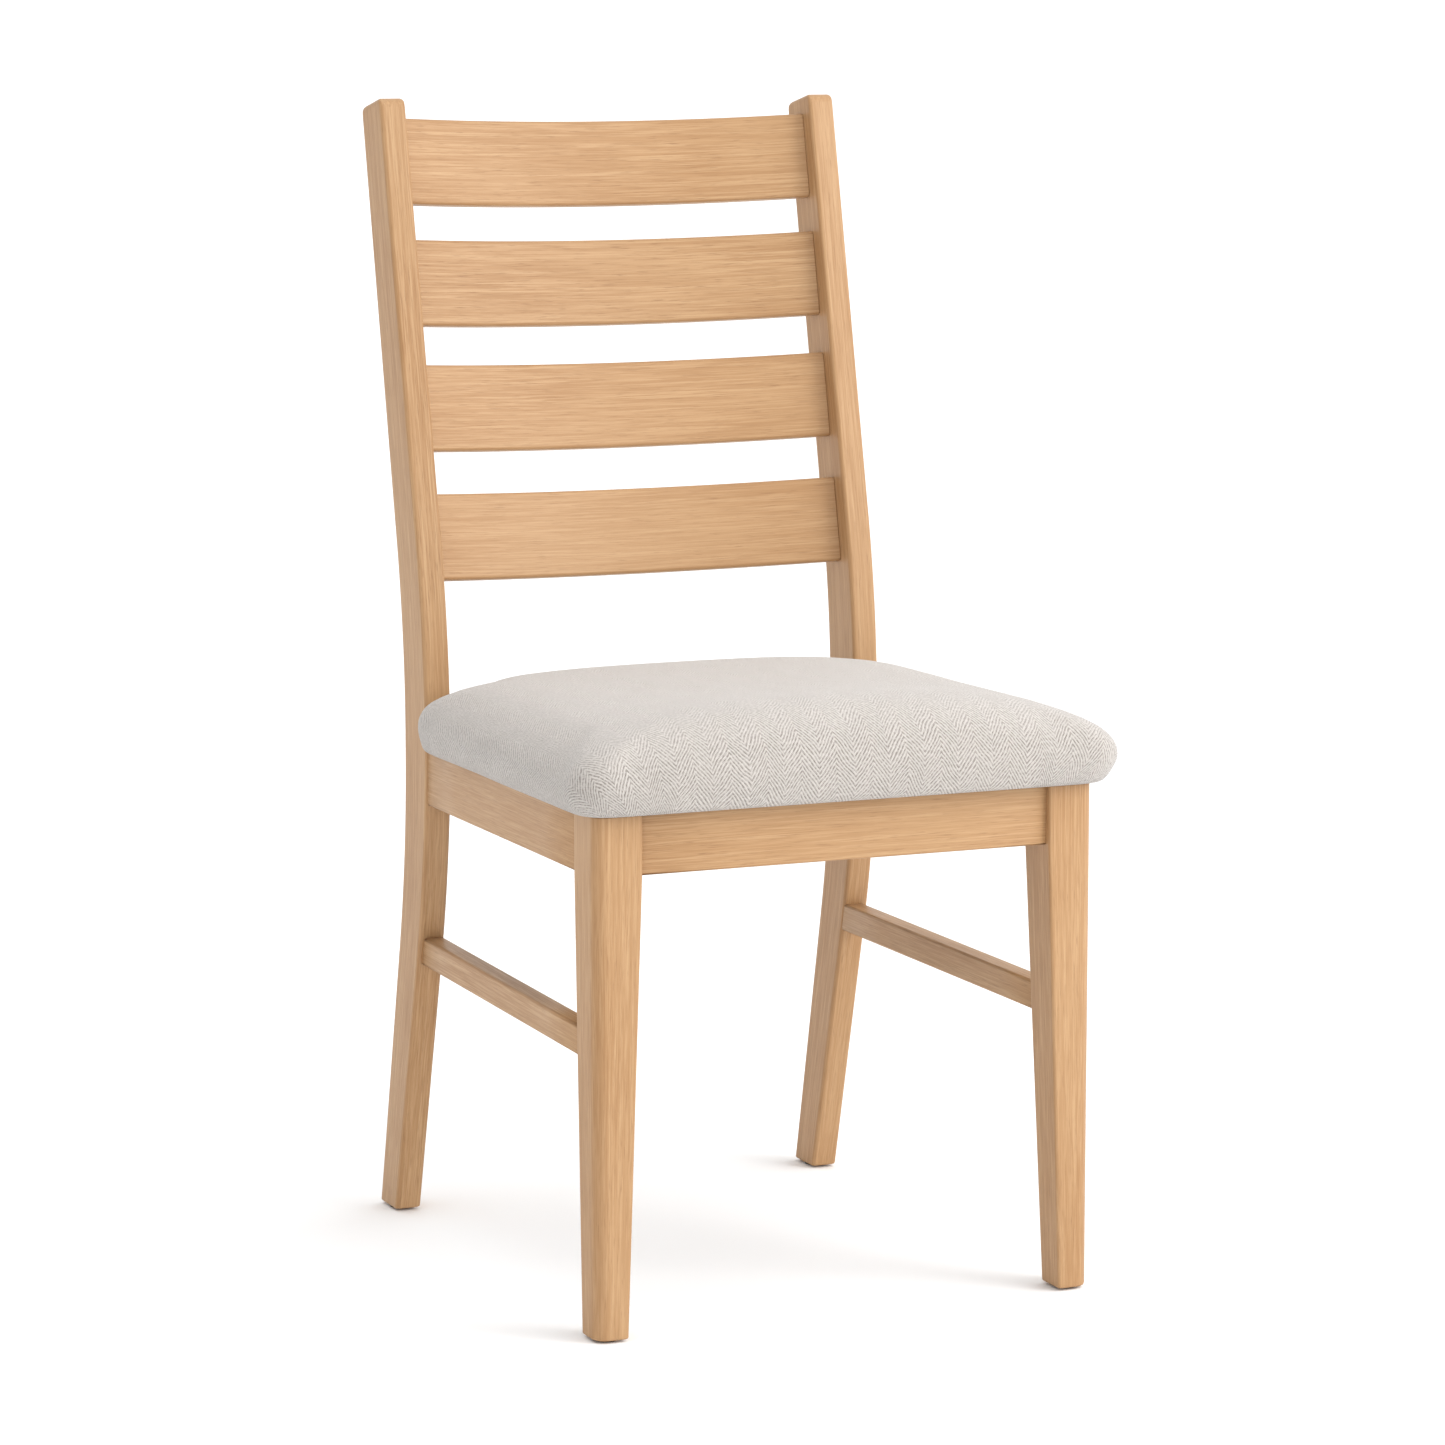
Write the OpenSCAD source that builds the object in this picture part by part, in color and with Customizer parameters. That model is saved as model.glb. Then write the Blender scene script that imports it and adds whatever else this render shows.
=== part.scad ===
// Ladder-back dining chair with an upholstered seat pad.
// X runs across the chair, the sitter faces -Y, Z is up and the floor is Z = 0.
// The frame is doweled and tenoned oak; the pad is screwed on from below.

/* [Overall] */
// Height of the back posts above the floor
overall_height = 950; // [920:5:1000]
// Width across the outer faces of the front legs
front_span = 431; // [415:1:470]
// Width across the outer faces of the back posts
back_span = 418; // [410:1:460]
// Height of the top of the seat frame
frame_top = 414; // [405:1:425]

/* [Back posts] */
// Thickness of a post across the chair
post_w = 23; // [21:0.5:28]
// Depth of a post at the floor
post_foot_d = 38; // [34:1:44]
// Depth of a post at the seat
post_seat_d = 52; // [48:1:58]
// Depth of a post at its top
post_top_d = 47; // [44:1:52]
// Lean of the back above the seat, degrees from upright
back_lean = 12; // [8:0.5:14]
// Splay of the rear leg below the seat, degrees from upright
leg_splay = 13.5; // [11:0.5:15]
// Radius of the bend that joins the back to the rear leg
bend_r = 800; // [700:10:850]
// Height of the point where the two straight stretches would meet
bend_z = 407; // [400:1:415]
// Distance of that point behind the front legs' front faces
bend_y = 390; // [380:1:420]
// Radius of the rounded corners on top of a post
post_top_r = 9; // [4:1:12]

/* [Back slats] */
// Height of a slat along the lean of the back
slat_h = 73; // [60:1:78]
// Thickness of a slat
slat_t = 13; // [11:0.5:15]
// How far the middle of a slat curves back from its ends
slat_sag = 25; // [15:1:32]
// Distance of a slat's front face behind the post's front face
slat_setback = 15; // [12:0.5:17]
// Distance from the post's top to the top slat, along the lean
slat_drop = 15; // [12:1:24]
// Spacing of the first two slats along the lean
slat_pitch = 103; // [98:1:105]
// Growth of that spacing from each slat to the next
slat_pitch_step = 3; // [0:1:4]

/* [Front legs] */
// Width of a front leg at the seat frame
leg_w = 40; // [36:1:44]
// Depth of a front leg at the seat frame
leg_d = 44; // [40:1:48]
// Width of a front leg at the floor
leg_foot_w = 27.5; // [25:0.5:34]
// Depth of a front leg at the floor
leg_foot_d = 31; // [26:1:38]
// Radius of the outer front corner of a front leg
leg_corner_r = 11; // [5:1:14]

/* [Seat frame] */
// Height of the aprons
apron_h = 48; // [44:1:56]
// Thickness of the aprons
apron_t = 20; // [18:1:22]
// Distance of the front apron behind the legs' front faces
front_apron_setback = 6; // [2:1:10]
// Distance of the side aprons inside the legs' outer faces
side_apron_inset = 2; // [1:0.5:3]
// Distance of the rear apron behind the posts' front faces
rear_apron_setback = 3; // [2:1:6]
// Height of the corner blocks
block_h = 28; // [24:1:32]
// How far a corner block runs along each apron
block_leg = 66; // [60:1:72]

/* [Side stretchers] */
// Height of a stretcher
stretcher_h = 24; // [20:1:28]
// Thickness of a stretcher
stretcher_w = 18; // [14:1:18]
// Height of a stretcher's underside at the front leg
stretcher_z = 220; // [180:5:240]
// How much higher the stretcher is at the post
stretcher_rise = 6; // [0:1:10]
// Distance of a stretcher inside the legs' outer faces
stretcher_inset = 4; // [3:0.5:4.5]

/* [Seat pad] */
// Thickness of the plywood board
board_t = 12; // [9:1:15]
// Overhang of the board beyond the frame
board_over = 4; // [2:1:6]
// Overhang of the padded edge beyond the frame
pad_over = 22; // [16:1:26]
// Height of the crown of the pad above the seat frame
pad_crown = 70; // [62:1:80]
// How far the board reaches back between the posts
pad_tongue = 24; // [20:1:28]
// Thickness of the cover fabric
fabric_t = 1.5; // [1:0.5:2]
// Thickness of the wadding over the foam
wadding_t = 5; // [3:1:8]
// Width of the fabric turned under the board
hem_w = 50; // [44:1:60]

/* [Fixings] */
// Diameter of the dowels
dowel_d = 8; // [6:1:10]
// Length of the dowels
dowel_len = 30; // [24:1:32]
// Length of the tenons
tenon_len = 13; // [8:1:14]
// Number of staples along the front and the back of the pad
staples_across = 7; // [4:1:9]
// Number of staples along each side of the pad
staples_along = 7; // [4:1:8]
// Height of the floor glides
glide_h = 2; // [1:0.5:4]

/* [Hidden] */
$fn = 48;
slice = 0.2;              // thickness of the thin layers that a hull joins
reach = 2000;             // larger than the chair, for cutting
side_names = ["left", "right"];
slats = 4;

// Colours of the pieces
oak = [0.80, 0.66, 0.48];
oak_shade = [0.74, 0.60, 0.43];
birch_ply = [0.83, 0.73, 0.56];
weave_grey = [0.80, 0.78, 0.74];
foam_cream = [0.93, 0.90, 0.78];
felt_black = [0.12, 0.12, 0.12];
zinc = [0.70, 0.71, 0.73];

// The back post's centreline: a straight leg, a bend and a straight back
turn = (back_lean + leg_splay) / 2;
tangent_len = bend_r * tan(turn);
bend_start = [bend_y + tangent_len * sin(leg_splay), bend_z - tangent_len * cos(leg_splay)];
bend_end = [bend_y + tangent_len * sin(back_lean), bend_z + tangent_len * cos(back_lean)];
bend_centre = bend_start + bend_r * [cos(leg_splay), sin(leg_splay)];
bend_steps = 24;
top_corner = [post_top_d / 2 - post_top_r, -post_top_r];
top_z = overall_height - top_corner[0] * sin(back_lean) + post_top_r * (cos(back_lean) - 1);
top_y = bend_end[0] + (top_z - bend_end[1]) * tan(back_lean);
post_reach = top_y + top_corner[0] * cos(back_lean) + post_top_r * (1 - sin(back_lean));

// Places along Y, with the whole chair centred on the origin
leg_front = (pad_over - post_reach) / 2;
leg_back = leg_front + leg_d;
leg_x = front_span / 2;
post_x = back_span / 2;
apron_z = frame_top - apron_h;
seat_post_y = leg_front + post_front(frame_top);
front_apron_y = leg_front + front_apron_setback;
rear_apron_y = seat_post_y + rear_apron_setback;

// Fixings
dowel_in = dowel_len / 2;
dowel_z = [apron_z + apron_h * 0.27, apron_z + apron_h * 0.73];
side_dowel_z = apron_z + apron_h / 2;
tenon_t = 9;
stretcher_tenon_h = 16;
slat_tenon_back = 2.5;    // distance of a slat's tenon behind the slat's front face
slat_shoulder = 8;        // how much lower than the slat its tenon is, above and below
screw_d = 4;
screw_head_d = 8;
screw_head_h = 3;
block_screw_len = 28;
block_screw_wood = 12;
block_gap = 2;            // clearance of a block from the pad, and from the leg or post
block_z = frame_top - block_gap - block_h;
block_screw_z = block_z + block_h / 2;
screw_from_corner = 14;
seat_screw_in = [26, 30];
screw_board_left = 2;     // wood left above a seat screw's end
nail_d = 2.4;
nail_len = 15;
glide_d = 18;

// Layers of the pad, from the frame up
dust_t = 0.5;
hem_z = frame_top + dust_t;
board_z = hem_z + fabric_t;
board_r = 22;
pad_gap = 1.5;            // clearance between the pad and the posts
pad_back_y = seat_post_y + pad_tongue;
pad_back_bulge = 0.3;     // share of the overhang that the tongue has at its back
pad_back_r = 4;           // extra roundness of the pad's corners in front of the posts
tongue_r = 6;
tongue_root = 60;
pad_mid_z = frame_top + 24;
pad_low_h = 24;
pad_high_h = 26;
pad_edge_in = 30;
staple_in = 36;
staple_w = 10;
staple_wire = 0.7;
staple_len = 8;
staple_spread = 0.72;     // share of each edge that has staples, clear of the corner blocks
dust_inset = 4;
crown_step = 5;
crown_in = [50, 120];     // how far inside the frame the crown's two top layers end

// Stations on the post's centreline: [y, z, angle]
function bend_station(a) =
    [bend_centre[0] - bend_r * cos(a), bend_centre[1] - bend_r * sin(a), a];
function along_leg(d) =
    [bend_start[0] + d * sin(leg_splay), bend_start[1] - d * cos(leg_splay), leg_splay];
function post_depth(z) =
    z < bend_z ? post_foot_d + (post_seat_d - post_foot_d) * z / bend_z
        : post_seat_d + (post_top_d - post_seat_d) * (z - bend_z) / (overall_height - bend_z);
function offset_point(s, side) =
    [s[0] + side * post_depth(s[1]) / 2 * cos(s[2]), s[1] + side * post_depth(s[1]) / 2 * sin(s[2])];

// Angle, centre and front face of the post at height z, behind the front legs' front faces
function post_angle(z) =
    z < bend_start[1] ? leg_splay
        : z > bend_end[1] ? -back_lean
        : asin((bend_centre[1] - z) / bend_r);
function post_centre(z) =
    z < bend_start[1] ? bend_start[0] + (bend_start[1] - z) * tan(leg_splay)
        : z > bend_end[1] ? bend_end[0] + (z - bend_end[1]) * tan(back_lean)
        : bend_centre[0] - bend_r * cos(post_angle(z));
function post_front(z) = post_centre(z) - post_depth(z) / 2 / cos(post_angle(z));

// A point in the leaning frame of the back: across the post (front is negative), and down from its top
function back_point(across, down) =
    [top_y + across * cos(back_lean) - down * sin(back_lean),
     top_z - across * sin(back_lean) - down * cos(back_lean)];
function top_arc(side) = [
    for (a = [0:15:90])
        let (b = side < 0 ? a : 90 - a)
        back_point(side * (top_corner[0] + post_top_r * cos(b)), post_top_r * (1 - sin(b)))
];

// Outer face of a side rail at distance y behind the front legs' front faces
function rail_x(y, inset) =
    leg_x - inset + (post_x - leg_x) * (y - leg_d) / (post_front(frame_top) - leg_d);

// Top of slat i below the post's top, along the lean
function slat_down(i) = slat_drop + i * slat_pitch + i * (i - 1) / 2 * slat_pitch_step;

// Draws the left side as it is and the right side as its mirror image
module on_side(side) {
    mirror([side == "right" ? 1 : 0, 0, 0]) children();
}

module both_sides() {
    for (side = side_names) on_side(side) children();
}

// ---------- legs and posts ----------

module post_outline() {
    // The bend's stations, then both straight ends, the lower one run past the floor
    stations = concat(
        [along_leg(bend_start[1] / cos(leg_splay) + post_foot_d)],
        [for (i = [0:bend_steps]) bend_station(leg_splay - (leg_splay + back_lean) * i / bend_steps)]
    );
    front_side = [for (s = stations) offset_point(s, -1)];
    back_side = [for (i = [len(stations) - 1:-1:0]) offset_point(stations[i], 1)];
    intersection() {
        polygon(concat(front_side, top_arc(-1), top_arc(1), back_side));
        translate([0, glide_h]) square([reach, reach]);
    }
}

// The left post without its joints
module post_body() {
    translate([-post_x, leg_front, 0])
        rotate([90, 0, 90]) linear_extrude(post_w) post_outline();
}

// The left front leg without its joints: upright outside, tapered on the two inner faces
module leg_body() {
    intersection() {
        translate([0, leg_front + reach / 2, 0])
            rotate([90, 0, 0]) linear_extrude(reach)
                polygon([
                    [-leg_x, glide_h], [-leg_x, frame_top], [-leg_x + leg_w, frame_top],
                    [-leg_x + leg_w, apron_z], [-leg_x + leg_foot_w, glide_h]
                ]);
        translate([-leg_x, leg_front, 0])
            rotate([90, 0, 90]) linear_extrude(leg_w)
                polygon([
                    [0, glide_h], [leg_foot_d, glide_h], [leg_d, apron_z],
                    [leg_d, frame_top], [0, frame_top]
                ]);
        translate([-leg_x, leg_front, 0]) linear_extrude(frame_top) leg_plan();
    }
}

module leg_plan() {
    difference() {
        square([leg_w, leg_d]);
        difference() {
            square(leg_corner_r);
            translate([leg_corner_r, leg_corner_r]) circle(leg_corner_r, $fn = 64);
        }
    }
}

module front_leg() {
    color(oak) difference() {
        leg_body();
        apron_dowels(front_apron_y + apron_t / 2, leg_x - leg_w);
        side_dowels();
        stretcher_tenons();
        glide_nail_at(leg_foot_place());
    }
}

module back_post() {
    color(oak) difference() {
        post_body();
        for (i = [0:slats - 1]) slat_frame(i) slat_tenon();
        apron_dowels(rear_apron_y + apron_t / 2, post_x - post_w);
        side_dowels();
        stretcher_tenons();
        glide_nail_at(post_foot_place());
    }
}

// ---------- back slats ----------

// Puts a slat's own frame in place: x across, y back from the slat's front face, z up the lean
module slat_frame(i) {
    place = back_point(-post_top_d / 2 + slat_setback, slat_down(i) + slat_h);
    translate([0, leg_front + place[0], place[1]]) rotate([-back_lean, 0, 0]) children();
}

// A bow of constant thickness, hollow towards the sitter
module slat_body() {
    half = post_x - post_w;
    bow_r = (half * half + slat_sag * slat_sag) / (2 * slat_sag);
    linear_extrude(slat_h)
        intersection() {
            translate([0, slat_sag - bow_r]) difference() {
                circle(bow_r + slat_t, $fn = 180);
                circle(bow_r, $fn = 180);
            }
            translate([-half, -slat_t]) square([2 * half, slat_sag + 3 * slat_t]);
        }
}

// The tenon on a slat's left end
module slat_tenon() {
    root = 4;
    translate([-(post_x - post_w) - tenon_len, slat_tenon_back, slat_shoulder])
        cube([tenon_len + root, tenon_t, slat_h - 2 * slat_shoulder]);
}

module back_slat(i) {
    color(oak_shade) slat_frame(i) {
        slat_body();
        both_sides() slat_tenon();
    }
}

// ---------- seat frame ----------

// Dowels at the left end of a front or rear apron whose shoulder is at -x
module apron_dowels(y, x) {
    for (z = dowel_z)
        translate([-x - dowel_in, y, z]) rotate([0, 90, 0]) cylinder(d = dowel_d, h = dowel_len);
}

// Dowels at both ends of the left side apron
module side_dowels() {
    front_x = rail_x(leg_d, side_apron_inset) - apron_t / 2;
    rear_x = rail_x(post_front(side_dowel_z), side_apron_inset) - apron_t / 2;
    for (place = [[front_x, leg_back], [rear_x, leg_front + post_front(side_dowel_z)]])
        translate([-place[0], place[1] + dowel_in, side_dowel_z])
            rotate([90, 0, 0]) cylinder(d = dowel_d, h = dowel_len);
}

module front_apron() {
    half = leg_x - leg_w;
    color(oak) difference() {
        translate([-half, front_apron_y, apron_z]) cube([2 * half, apron_t, apron_h]);
        both_sides() apron_dowels(front_apron_y + apron_t / 2, half);
        both_sides() block_screw_shanks("front");
    }
}

module rear_apron() {
    half = post_x - post_w;
    color(oak_shade) difference() {
        translate([-half, rear_apron_y, apron_z]) cube([2 * half, apron_t, apron_h]);
        both_sides() apron_dowels(rear_apron_y + apron_t / 2, half);
        both_sides() block_screw_shanks("rear");
    }
}

// Plan of a left side rail, run past its two shoulders into the front leg and into the post
module rail_plan(inset, thick, into_leg, into_post) {
    y1 = leg_d - into_leg;
    y2 = post_front(frame_top) + into_post;
    translate([0, leg_front])
        polygon([
            [-rail_x(y1, inset), y1], [-rail_x(y2, inset), y2],
            [thick - rail_x(y2, inset), y2], [thick - rail_x(y1, inset), y1]
        ]);
}

module side_apron() {
    into_post = 10;
    color(oak) difference() {
        translate([0, 0, apron_z]) linear_extrude(apron_h)
            rail_plan(side_apron_inset, apron_t, 0, into_post);
        post_body();
        translate([-(post_x - post_w), rear_apron_y, apron_z])
            cube([2 * (post_x - post_w), apron_t, apron_h]);
        side_dowels();
        block_screw_shanks("front");
        block_screw_shanks("rear");
    }
}

// ---------- side stretchers ----------

function stretcher_at(y) =
    stretcher_z + stretcher_rise * (y - leg_d) / (post_front(stretcher_z) - leg_d);

module stretcher_tenons() {
    inset = stretcher_inset + (stretcher_w - tenon_t) / 2;
    root = 8;
    leg_y = leg_foot_d + (leg_d - leg_foot_d) * stretcher_z / apron_z;
    post_y = post_front(stretcher_z + stretcher_rise + stretcher_h / 2);
    for (span = [[leg_y - tenon_len, leg_y + root], [post_y - root, post_y + tenon_len]]) {
        mid = (span[0] + span[1]) / 2;
        translate([-rail_x(mid, inset), leg_front + span[0],
                   stretcher_at(mid) + (stretcher_h - stretcher_tenon_h) / 2])
            cube([tenon_t, span[1] - span[0], stretcher_tenon_h]);
    }
}

module side_stretcher() {
    run_on = 30;
    into = 16;
    front_y = leg_d - into;
    back_y = post_front(stretcher_z) + into;
    color(oak) union() {
        difference() {
            intersection() {
                linear_extrude(frame_top) rail_plan(stretcher_inset, stretcher_w, run_on, 2 * run_on);
                translate([-leg_x, leg_front, 0]) rotate([90, 0, 90]) linear_extrude(leg_x)
                    polygon([
                        [front_y, stretcher_at(front_y)], [back_y, stretcher_at(back_y)],
                        [back_y, stretcher_at(back_y) + stretcher_h],
                        [front_y, stretcher_at(front_y) + stretcher_h]
                    ]);
            }
            leg_body();
            leg_front_waste();
            post_body();
            translate([stretcher_inset, 0, 0]) post_body();
            post_back_waste();
        }
        stretcher_tenons();
    }
}

// Everything in front of a front leg's middle, and everything behind a post's middle
module leg_front_waste() {
    translate([-reach / 2, leg_front + leg_foot_d / 2 - reach, 0]) cube([reach, reach, frame_top]);
}

module post_back_waste() {
    translate([-reach / 2, leg_front + post_centre(stretcher_z + stretcher_h), 0])
        cube([reach, reach, frame_top]);
}

// ---------- corner blocks ----------

// Corner of the left front or rear block: the inner faces of its two aprons meet there
function block_corner(end) =
    end == "front" ? [-rail_x(leg_d, side_apron_inset) + apron_t, front_apron_y + apron_t]
        : [-rail_x(post_front(frame_top), side_apron_inset) + apron_t, rear_apron_y];

// The corner of the leg or post that a block is notched round, with a gap
function notch_corner(end) =
    end == "front" ? [-leg_x + leg_w + block_gap, leg_back + block_gap]
        : [-post_x + post_w + block_gap, seat_post_y - block_gap];

module block_plan(end) {
    corner = block_corner(end);
    notch = notch_corner(end);
    away = end == "front" ? 1 : -1;
    side_y = corner[1] + away * block_leg;
    side_x = -rail_x(side_y - leg_front, side_apron_inset) + apron_t;
    notch_x = -rail_x(notch[1] - leg_front, side_apron_inset) + apron_t;
    polygon([
        [corner[0] + block_leg, corner[1]], [notch[0], corner[1]], [notch[0], notch[1]],
        [notch_x, notch[1]], [side_x, side_y]
    ]);
}

module corner_block(end) {
    color(oak_shade) difference() {
        translate([0, 0, block_z]) linear_extrude(block_h) block_plan(end);
        block_screw_shanks(end);
        block_counterbores(end);
        seat_screw(end);
    }
}

// Puts a frame on each apron face of a block: z points out of the apron
module on_block_faces(end) {
    corner = block_corner(end);
    away = end == "front" ? 1 : -1;
    along = block_leg - screw_from_corner;
    translate([corner[0] + along, corner[1], block_screw_z])
        rotate([-90 * away, 0, 0]) children();
    side_y = corner[1] + away * along;
    translate([-rail_x(side_y - leg_front, side_apron_inset) + apron_t, side_y, block_screw_z])
        rotate([0, 90, 0]) children();
}

module block_screw_shanks(end) {
    into_apron = block_screw_len - block_screw_wood;
    on_block_faces(end) translate([0, 0, -into_apron]) cylinder(d = screw_d, h = block_screw_len);
}

module block_counterbores(end) {
    on_block_faces(end) translate([0, 0, block_screw_wood - screw_head_h])
        cylinder(d = screw_head_d, h = block_leg);
}

module block_screw(end) {
    into_apron = block_screw_len - block_screw_wood;
    on_block_faces(end) {
        translate([0, 0, -into_apron]) cylinder(d = screw_d, h = block_screw_len - screw_head_h);
        translate([0, 0, block_screw_wood - screw_head_h])
            cylinder(d = screw_head_d, h = screw_head_h);
    }
}

module seat_screw(end) {
    corner = block_corner(end);
    away = end == "front" ? 1 : -1;
    into_board = board_t - screw_board_left;
    translate([corner[0] + seat_screw_in[0], corner[1] + away * seat_screw_in[1], 0]) {
        translate([0, 0, block_z]) cylinder(d = screw_head_d, h = screw_head_h);
        translate([0, 0, block_z]) cylinder(d = screw_d, h = board_z + into_board - block_z);
    }
}

module all_seat_screws() {
    both_sides() {
        seat_screw("front");
        seat_screw("rear");
    }
}

// ---------- seat pad ----------

// Heights and overhangs of the pad's rounded edge, from the board's underside to the crown
function edge_over(a, skin) = pad_over - pad_edge_in * (1 - cos(a)) - skin;
function edge_z(a, skin) =
    pad_mid_z + (a < 0 ? pad_low_h : pad_high_h) * sin(a) - (a > 0 ? skin / 2 : 0);

// Four upright corner columns of the pad's plan, grown by "over" beyond the frame's outer faces
module pad_layer(z, over, r, skin) {
    y_front = leg_front - over;
    y_back = seat_post_y - pad_gap - skin + min(0, over + skin - board_over);
    for (side = [-1, 1]) {
        translate([side * (leg_x + over - r), y_front + r, z]) cylinder(r = r, h = slice, $fn = 32);
        translate([side * (post_x + over - r - pad_back_r), y_back - r - pad_back_r, z])
            cylinder(r = r + pad_back_r, h = slice, $fn = 32);
    }
}

// Two columns at the back of the tongue between the posts, and a block that roots it in the pad
module tongue_layer(z, over, skin) {
    grown = over - board_over;
    half = post_x - post_w - pad_gap - skin;
    y_back = pad_back_y + min(grown, grown * pad_back_bulge);
    for (side = [-1, 1])
        translate([side * (half - tongue_r), y_back - tongue_r, z])
            cylinder(r = tongue_r, h = slice, $fn = 32);
    translate([-half, seat_post_y - tongue_root, z]) cube([2 * half, slice, slice]);
}

// The crowned pad, made smaller all round by "skin"
module pad_form(skin) {
    crown_z = frame_top + pad_crown - skin;
    hull() {
        for (a = [-60:20:60])
            pad_layer(edge_z(a, skin), edge_over(a, skin),
                board_r + (edge_over(a, skin) - board_over) / 2, skin);
        pad_layer(hem_z + skin, board_over + fabric_t - skin, board_r, skin);
        pad_layer(crown_z - crown_step, -crown_in[0], board_r + crown_step, skin);
        pad_layer(crown_z - slice, -crown_in[1], board_r + 2 * crown_step, skin);
    }
    hull() {
        for (a = [-60:20:60]) tongue_layer(edge_z(a, skin), edge_over(a, skin), skin);
        tongue_layer(hem_z + skin, board_over + fabric_t - skin, skin);
    }
}

// Plan of a flat layer grown by "over" beyond the frame's outer faces, with rounded outer corners,
// a tongue between the posts, and room for the cover between the layer and the posts
module plate_plan(over) {
    front_x = leg_x + over;
    back_x = post_x + over;
    back_r = board_r + pad_back_r;
    tongue_x = post_x - post_w - pad_gap - fabric_t;
    y_front = leg_front - over;
    y_notch = seat_post_y - pad_gap - fabric_t;
    y_back = pad_back_y + over - board_over;
    intersection() {
        polygon([
            [-front_x, y_front], [front_x, y_front], [front_x, y_front + board_r],
            [back_x, y_notch - back_r], [back_x, y_notch],
            [tongue_x, y_notch], [tongue_x, y_back], [-tongue_x, y_back], [-tongue_x, y_notch],
            [-back_x, y_notch], [-back_x, y_notch - back_r], [-front_x, y_front + board_r]
        ]);
        union() {
            translate([board_r - front_x, y_front]) square([2 * (front_x - board_r), board_r]);
            translate([-front_x, y_front + board_r])
                square([2 * front_x, y_notch - back_r - y_front - board_r]);
            translate([back_r - back_x, y_notch - back_r]) square([2 * (back_x - back_r), back_r]);
            hull() {
                translate([-tongue_x, y_notch - back_r]) square([2 * tongue_x, back_r]);
                for (side = [-1, 1])
                    translate([side * (tongue_x - tongue_r), y_back - tongue_r]) circle(tongue_r);
            }
            for (side = [-1, 1]) {
                translate([side * (front_x - board_r), y_front + board_r]) circle(board_r);
                translate([side * (back_x - back_r), y_notch - back_r]) circle(back_r);
            }
        }
    }
}

module board_body() {
    translate([0, 0, board_z]) linear_extrude(board_t) plate_plan(board_over);
}

module seat_board() {
    color(birch_ply) difference() {
        board_body();
        all_seat_screws();
        all_staples();
    }
}

module seat_foam() {
    color(foam_cream) difference() {
        pad_form(fabric_t + wadding_t);
        below_board();
        board_body();
    }
}

module seat_wadding() {
    color("white") difference() {
        pad_form(fabric_t);
        pad_form(fabric_t + wadding_t);
        below_board();
        board_body();
    }
}

// Everything below the board's underside
module below_board() {
    translate([-reach / 2, -reach / 2, board_z - reach]) cube([reach, reach, reach]);
}

module seat_cover() {
    opening_front = leg_x - hem_w;
    opening_back = post_x - hem_w;
    color(weave_grey) difference() {
        pad_form(0);
        difference() {
            pad_form(fabric_t);
            below_board();
        }
        translate([0, 0, hem_z - 1]) linear_extrude(fabric_t + 2)
            polygon([
                [-opening_front, leg_front + hem_w], [opening_front, leg_front + hem_w],
                [opening_back, pad_back_y - hem_w], [-opening_back, pad_back_y - hem_w]
            ]);
        all_seat_screws();
        all_staples();
    }
}

module dust_cover() {
    color(felt_black) difference() {
        translate([0, 0, frame_top]) linear_extrude(dust_t) plate_plan(-dust_inset);
        all_seat_screws();
        all_staples();
    }
}

// One staple, its crown along X below the dust cover
module staple() {
    translate([-staple_w / 2, -staple_wire / 2, frame_top - staple_wire]) {
        cube([staple_w, staple_wire, staple_wire]);
        for (x = [0, staple_w - staple_wire])
            translate([x, 0, 0]) cube([staple_wire, staple_wire, staple_len + staple_wire]);
    }
}

module all_staples() {
    y_front = leg_front + staple_in;
    y_back = pad_back_y - staple_in;
    half = post_x - staple_in;
    for (i = [0:staples_across - 1]) {
        x = half * staple_spread * (2 * (i + 0.5) / staples_across - 1);
        translate([x, y_front, 0]) staple();
        translate([x, y_back, 0]) staple();
    }
    for (i = [0:staples_along - 1], side = [-1, 1]) {
        y = (y_front + y_back) / 2 + (y_back - y_front) * staple_spread * (i / (staples_along - 1) - 0.5);
        translate([side * half, y, 0]) rotate(90) staple();
    }
}

// ---------- floor glides ----------

function leg_foot_place() = [-leg_x + leg_foot_w / 2, leg_front + leg_foot_d / 2];
function post_foot_place() = [-post_x + post_w / 2, leg_front + post_centre(0)];

module glide_nail_at(place) {
    translate([place[0], place[1], glide_h / 2]) cylinder(d = nail_d, h = nail_len);
}

module foot_glides() {
    color(felt_black) both_sides() for (place = [leg_foot_place(), post_foot_place()])
        difference() {
            translate([place[0], place[1], 0]) cylinder(d = glide_d, h = glide_h);
            glide_nail_at(place);
        }
}

module glide_nails() {
    color(zinc) both_sides() for (place = [leg_foot_place(), post_foot_place()]) glide_nail_at(place);
}

// ---------- the nodes ----------

for (side = side_names) {
    on_side(side) front_leg();
    on_side(side) back_post();
    on_side(side) side_apron();
    on_side(side) side_stretcher();
    on_side(side) corner_block("front");
    on_side(side) corner_block("rear");
}
for (i = [0:slats - 1]) {
    back_slat(i);
}
front_apron();
rear_apron();
color(birch_ply) both_sides() apron_dowels(front_apron_y + apron_t / 2, leg_x - leg_w);  // front_apron_dowels
color(birch_ply) both_sides() apron_dowels(rear_apron_y + apron_t / 2, post_x - post_w);  // rear_apron_dowels
color(birch_ply) both_sides() side_dowels();  // side_apron_dowels
color(zinc) both_sides() for (end = ["front", "rear"]) block_screw(end);  // corner_block_screws
color(zinc) all_seat_screws();  // seat_screws
seat_board();
seat_foam();
seat_wadding();
seat_cover();
dust_cover();
color(zinc) all_staples();  // seat_staples
foot_glides();
glide_nails();
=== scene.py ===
import math
import random

import bmesh
import bpy
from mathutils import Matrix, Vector
from mathutils.bvhtree import BVHTree


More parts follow.
